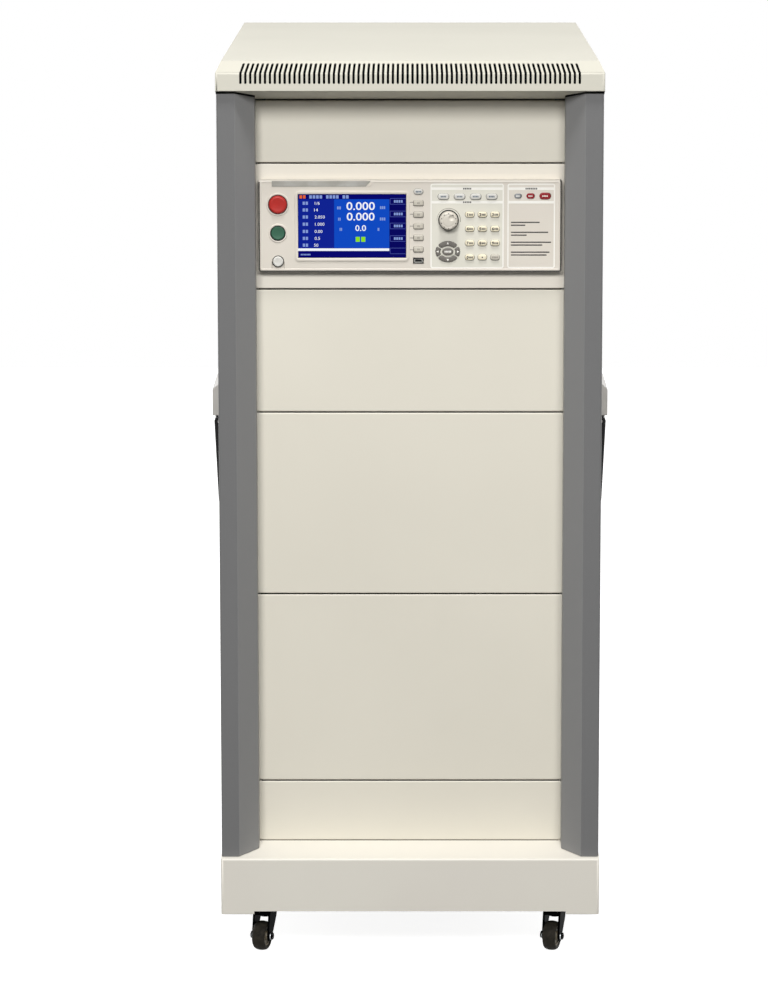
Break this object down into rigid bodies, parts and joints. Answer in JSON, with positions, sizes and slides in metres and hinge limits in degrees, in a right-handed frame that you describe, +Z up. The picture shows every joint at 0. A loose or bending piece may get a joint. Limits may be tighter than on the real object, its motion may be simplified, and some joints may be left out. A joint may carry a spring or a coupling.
{
  "type": "electrical safety tester cabinet",
  "caption": "Beige rack cabinet on swivel casters with grey front pillars, a slotted top cover, blank panels and a tester with screen, keypad, knob and push buttons.",
  "frame": {"origin": "On the floor at the centre of the cabinet's footprint", "axes": "+Z up, the front with the tester faces -Y, +X to the right as seen from the front"},
  "size_m": [0.5736, 0.8, 1.2775],
  "materials": {
    "beige_paint": "Fine satin powder coat on folded steel sheet",
    "panel_paint": "Satin beige coat on aluminium panels",
    "pillar_paint": "Satin mid-grey coat on an aluminium section",
    "zinc_steel": "Zinc-plated steel",
    "bracket_paint": "Pale grey satin paint on a cast bracket",
    "black_steel": "Black enamel on pressed steel",
    "handle_plastic": "Black moulded plastic",
    "wheel_rubber": "Dark rubber tread on a moulded wheel",
    "bezel_plastic": "Satin beige moulded front",
    "case_steel": "Thin satin coat on sheet steel",
    "display_glass": "Glossy screen",
    "board": "Green circuit board",
    "lamp_lens": "Glossy tinted lenses",
    "knob_plastic": "Satin moulded plastic",
    "red_button": "Semi-gloss red plastic",
    "green_button": "Semi-gloss green plastic",
    "cream_key": "Soft cream keypad rubber",
    "white_key": "Soft white keypad rubber",
    "grey_key": "Soft grey keypad rubber",
    "dark_key": "Soft dark grey keypad rubber"
  },
  "bodies": {
    "root": {"base_frame": "beige_paint", "top_cover": "beige_paint", "front_pillar_left": "pillar_paint", "front_pillar_right": "pillar_paint", "rack_rails": "zinc_steel", "side_panels": "beige_paint", "rear_frame": "beige_paint", "tester_shelf": "zinc_steel", "blank_panels": "panel_paint", "tester_panel": "panel_paint", "handle_brackets": "bracket_paint", "caster_plates": "black_steel", "tester_case": "case_steel", "tester_bezel": "bezel_plastic", "display_module": "display_glass", "control_board": "board", "indicator_lamps": "lamp_lens"},
    "rear_door": {"rear_door": "beige_paint"},
    "door_latch": {"door_latch": "zinc_steel"},
    "handle_left": {"handle_left": "handle_plastic"},
    "handle_right": {"handle_right": "handle_plastic"},
    "caster_fork_front_left": {"caster_fork_front_left": "black_steel"},
    "caster_wheel_front_left": {"caster_wheel_front_left": "wheel_rubber"},
    "caster_fork_front_right": {"caster_fork_front_right": "black_steel"},
    "caster_wheel_front_right": {"caster_wheel_front_right": "wheel_rubber"},
    "caster_fork_rear_left": {"caster_fork_rear_left": "black_steel"},
    "caster_wheel_rear_left": {"caster_wheel_rear_left": "wheel_rubber"},
    "caster_fork_rear_right": {"caster_fork_rear_right": "black_steel"},
    "caster_wheel_rear_right": {"caster_wheel_rear_right": "wheel_rubber"},
    "knob": {"knob": "knob_plastic"},
    "stop_button": {"stop_button": "red_button"},
    "start_button": {"start_button": "green_button"},
    "power_button": {"power_button": "white_key"},
    "soft_key_1": {"soft_key_1": "grey_key"},
    "soft_key_2": {"soft_key_2": "grey_key"},
    "soft_key_3": {"soft_key_3": "grey_key"},
    "soft_key_4": {"soft_key_4": "grey_key"},
    "soft_key_5": {"soft_key_5": "grey_key"},
    "menu_key_1": {"menu_key_1": "white_key"},
    "menu_key_2": {"menu_key_2": "white_key"},
    "menu_key_3": {"menu_key_3": "white_key"},
    "menu_key_4": {"menu_key_4": "white_key"},
    "number_key_0": {"number_key_0": "cream_key"},
    "number_key_1": {"number_key_1": "cream_key"},
    "number_key_2": {"number_key_2": "cream_key"},
    "number_key_3": {"number_key_3": "cream_key"},
    "number_key_4": {"number_key_4": "cream_key"},
    "number_key_5": {"number_key_5": "cream_key"},
    "number_key_6": {"number_key_6": "cream_key"},
    "number_key_7": {"number_key_7": "cream_key"},
    "number_key_8": {"number_key_8": "cream_key"},
    "number_key_9": {"number_key_9": "cream_key"},
    "point_key": {"point_key": "cream_key"},
    "clear_key": {"clear_key": "grey_key"},
    "arrow_up_key": {"arrow_up_key": "dark_key"},
    "arrow_down_key": {"arrow_down_key": "dark_key"},
    "arrow_left_key": {"arrow_left_key": "dark_key"},
    "arrow_right_key": {"arrow_right_key": "dark_key"},
    "enter_key": {"enter_key": "dark_key"},
    "lock_key": {"lock_key": "white_key"}
  },
  "joints": [
    {"name": "rear_door_hinge", "type": "hinge", "parent": "root", "child": "rear_door", "pos_m": [-0.2585, 0.3875, 0.7], "axis": [0, 0, 1], "range_deg": [0, 120]},
    {"name": "door_latch_turn", "type": "hinge", "parent": "rear_door", "child": "door_latch", "pos_m": [0.222, 0.395, 0.6955], "axis": [0, 1, 0], "range_deg": [0, 90]},
    {"name": "handle_left_pivot", "type": "hinge", "parent": "root", "child": "handle_left", "pos_m": [-0.277, -0.11, 0.738], "axis": [0, 1, 0], "range_deg": [0, 90]},
    {"name": "handle_right_pivot", "type": "hinge", "parent": "root", "child": "handle_right", "pos_m": [0.277, -0.11, 0.738], "axis": [0, -1, 0], "range_deg": [0, 90]},
    {"name": "swivel_front_left", "type": "hinge", "parent": "root", "child": "caster_fork_front_left", "pos_m": [-0.208, -0.348, 0.054], "axis": [0, 0, 1], "continuous": true},
    {"name": "wheel_front_left", "type": "hinge", "parent": "caster_fork_front_left", "child": "caster_wheel_front_left", "pos_m": [-0.21233, -0.36131, 0.021], "axis": [-0.9511, 0.309, 0], "continuous": true},
    {"name": "swivel_front_right", "type": "hinge", "parent": "root", "child": "caster_fork_front_right", "pos_m": [0.208, -0.348, 0.054], "axis": [0, 0, 1], "continuous": true},
    {"name": "wheel_front_right", "type": "hinge", "parent": "caster_fork_front_right", "child": "caster_wheel_front_right", "pos_m": [0.20367, -0.36131, 0.021], "axis": [-0.9511, 0.309, 0], "continuous": true},
    {"name": "swivel_rear_left", "type": "hinge", "parent": "root", "child": "caster_fork_rear_left", "pos_m": [-0.208, 0.348, 0.054], "axis": [0, 0, 1], "continuous": true},
    {"name": "wheel_rear_left", "type": "hinge", "parent": "caster_fork_rear_left", "child": "caster_wheel_rear_left", "pos_m": [-0.21233, 0.33469, 0.021], "axis": [-0.9511, 0.309, 0], "continuous": true},
    {"name": "swivel_rear_right", "type": "hinge", "parent": "root", "child": "caster_fork_rear_right", "pos_m": [0.208, 0.348, 0.054], "axis": [0, 0, 1], "continuous": true},
    {"name": "wheel_rear_right", "type": "hinge", "parent": "caster_fork_rear_right", "child": "caster_wheel_rear_right", "pos_m": [0.20367, 0.33469, 0.021], "axis": [-0.9511, 0.309, 0], "continuous": true},
    {"name": "knob_turn", "type": "hinge", "parent": "root", "child": "knob", "pos_m": [0.0538, -0.35, 1.0524], "axis": [0, 1, 0], "continuous": true},
    {"name": "stop_button_press", "type": "slide", "parent": "root", "child": "stop_button", "axis": [0, 1, 0], "range_m": [0, 0.002], "stiffness_N_per_m": 900},
    {"name": "start_button_press", "type": "slide", "parent": "root", "child": "start_button", "axis": [0, 1, 0], "range_m": [0, 0.002], "stiffness_N_per_m": 700},
    {"name": "power_button_press", "type": "slide", "parent": "root", "child": "power_button", "axis": [0, 1, 0], "range_m": [0, 0.002], "stiffness_N_per_m": 700},
    {"name": "soft_key_1_press", "type": "slide", "parent": "root", "child": "soft_key_1", "axis": [0, 1, 0], "range_m": [0, 0.0015], "stiffness_N_per_m": 500},
    {"name": "soft_key_2_press", "type": "slide", "parent": "root", "child": "soft_key_2", "axis": [0, 1, 0], "range_m": [0, 0.0015], "stiffness_N_per_m": 500},
    {"name": "soft_key_3_press", "type": "slide", "parent": "root", "child": "soft_key_3", "axis": [0, 1, 0], "range_m": [0, 0.0015], "stiffness_N_per_m": 500},
    {"name": "soft_key_4_press", "type": "slide", "parent": "root", "child": "soft_key_4", "axis": [0, 1, 0], "range_m": [0, 0.0015], "stiffness_N_per_m": 500},
    {"name": "soft_key_5_press", "type": "slide", "parent": "root", "child": "soft_key_5", "axis": [0, 1, 0], "range_m": [0, 0.0015], "stiffness_N_per_m": 500},
    {"name": "menu_key_1_press", "type": "slide", "parent": "root", "child": "menu_key_1", "axis": [0, 1, 0], "range_m": [0, 0.0015], "stiffness_N_per_m": 500},
    {"name": "menu_key_2_press", "type": "slide", "parent": "root", "child": "menu_key_2", "axis": [0, 1, 0], "range_m": [0, 0.0015], "stiffness_N_per_m": 500},
    {"name": "menu_key_3_press", "type": "slide", "parent": "root", "child": "menu_key_3", "axis": [0, 1, 0], "range_m": [0, 0.0015], "stiffness_N_per_m": 500},
    {"name": "menu_key_4_press", "type": "slide", "parent": "root", "child": "menu_key_4", "axis": [0, 1, 0], "range_m": [0, 0.0015], "stiffness_N_per_m": 500},
    {"name": "number_key_0_press", "type": "slide", "parent": "root", "child": "number_key_0", "axis": [0, 1, 0], "range_m": [0, 0.0015], "stiffness_N_per_m": 500},
    {"name": "number_key_1_press", "type": "slide", "parent": "root", "child": "number_key_1", "axis": [0, 1, 0], "range_m": [0, 0.0015], "stiffness_N_per_m": 500},
    {"name": "number_key_2_press", "type": "slide", "parent": "root", "child": "number_key_2", "axis": [0, 1, 0], "range_m": [0, 0.0015], "stiffness_N_per_m": 500},
    {"name": "number_key_3_press", "type": "slide", "parent": "root", "child": "number_key_3", "axis": [0, 1, 0], "range_m": [0, 0.0015], "stiffness_N_per_m": 500},
    {"name": "number_key_4_press", "type": "slide", "parent": "root", "child": "number_key_4", "axis": [0, 1, 0], "range_m": [0, 0.0015], "stiffness_N_per_m": 500},
    {"name": "number_key_5_press", "type": "slide", "parent": "root", "child": "number_key_5", "axis": [0, 1, 0], "range_m": [0, 0.0015], "stiffness_N_per_m": 500},
    {"name": "number_key_6_press", "type": "slide", "parent": "root", "child": "number_key_6", "axis": [0, 1, 0], "range_m": [0, 0.0015], "stiffness_N_per_m": 500},
    {"name": "number_key_7_press", "type": "slide", "parent": "root", "child": "number_key_7", "axis": [0, 1, 0], "range_m": [0, 0.0015], "stiffness_N_per_m": 500},
    {"name": "number_key_8_press", "type": "slide", "parent": "root", "child": "number_key_8", "axis": [0, 1, 0], "range_m": [0, 0.0015], "stiffness_N_per_m": 500},
    {"name": "number_key_9_press", "type": "slide", "parent": "root", "child": "number_key_9", "axis": [0, 1, 0], "range_m": [0, 0.0015], "stiffness_N_per_m": 500},
    {"name": "point_key_press", "type": "slide", "parent": "root", "child": "point_key", "axis": [0, 1, 0], "range_m": [0, 0.0015], "stiffness_N_per_m": 500},
    {"name": "clear_key_press", "type": "slide", "parent": "root", "child": "clear_key", "axis": [0, 1, 0], "range_m": [0, 0.0015], "stiffness_N_per_m": 500},
    {"name": "arrow_up_key_press", "type": "slide", "parent": "root", "child": "arrow_up_key", "axis": [0, 1, 0], "range_m": [0, 0.0015], "stiffness_N_per_m": 500},
    {"name": "arrow_down_key_press", "type": "slide", "parent": "root", "child": "arrow_down_key", "axis": [0, 1, 0], "range_m": [0, 0.0015], "stiffness_N_per_m": 500},
    {"name": "arrow_left_key_press", "type": "slide", "parent": "root", "child": "arrow_left_key", "axis": [0, 1, 0], "range_m": [0, 0.0015], "stiffness_N_per_m": 500},
    {"name": "arrow_right_key_press", "type": "slide", "parent": "root", "child": "arrow_right_key", "axis": [0, 1, 0], "range_m": [0, 0.0015], "stiffness_N_per_m": 500},
    {"name": "enter_key_press", "type": "slide", "parent": "root", "child": "enter_key", "axis": [0, 1, 0], "range_m": [0, 0.0015], "stiffness_N_per_m": 500},
    {"name": "lock_key_press", "type": "slide", "parent": "root", "child": "lock_key", "axis": [0, 1, 0], "range_m": [0, 0.0015], "stiffness_N_per_m": 500}
  ]
}
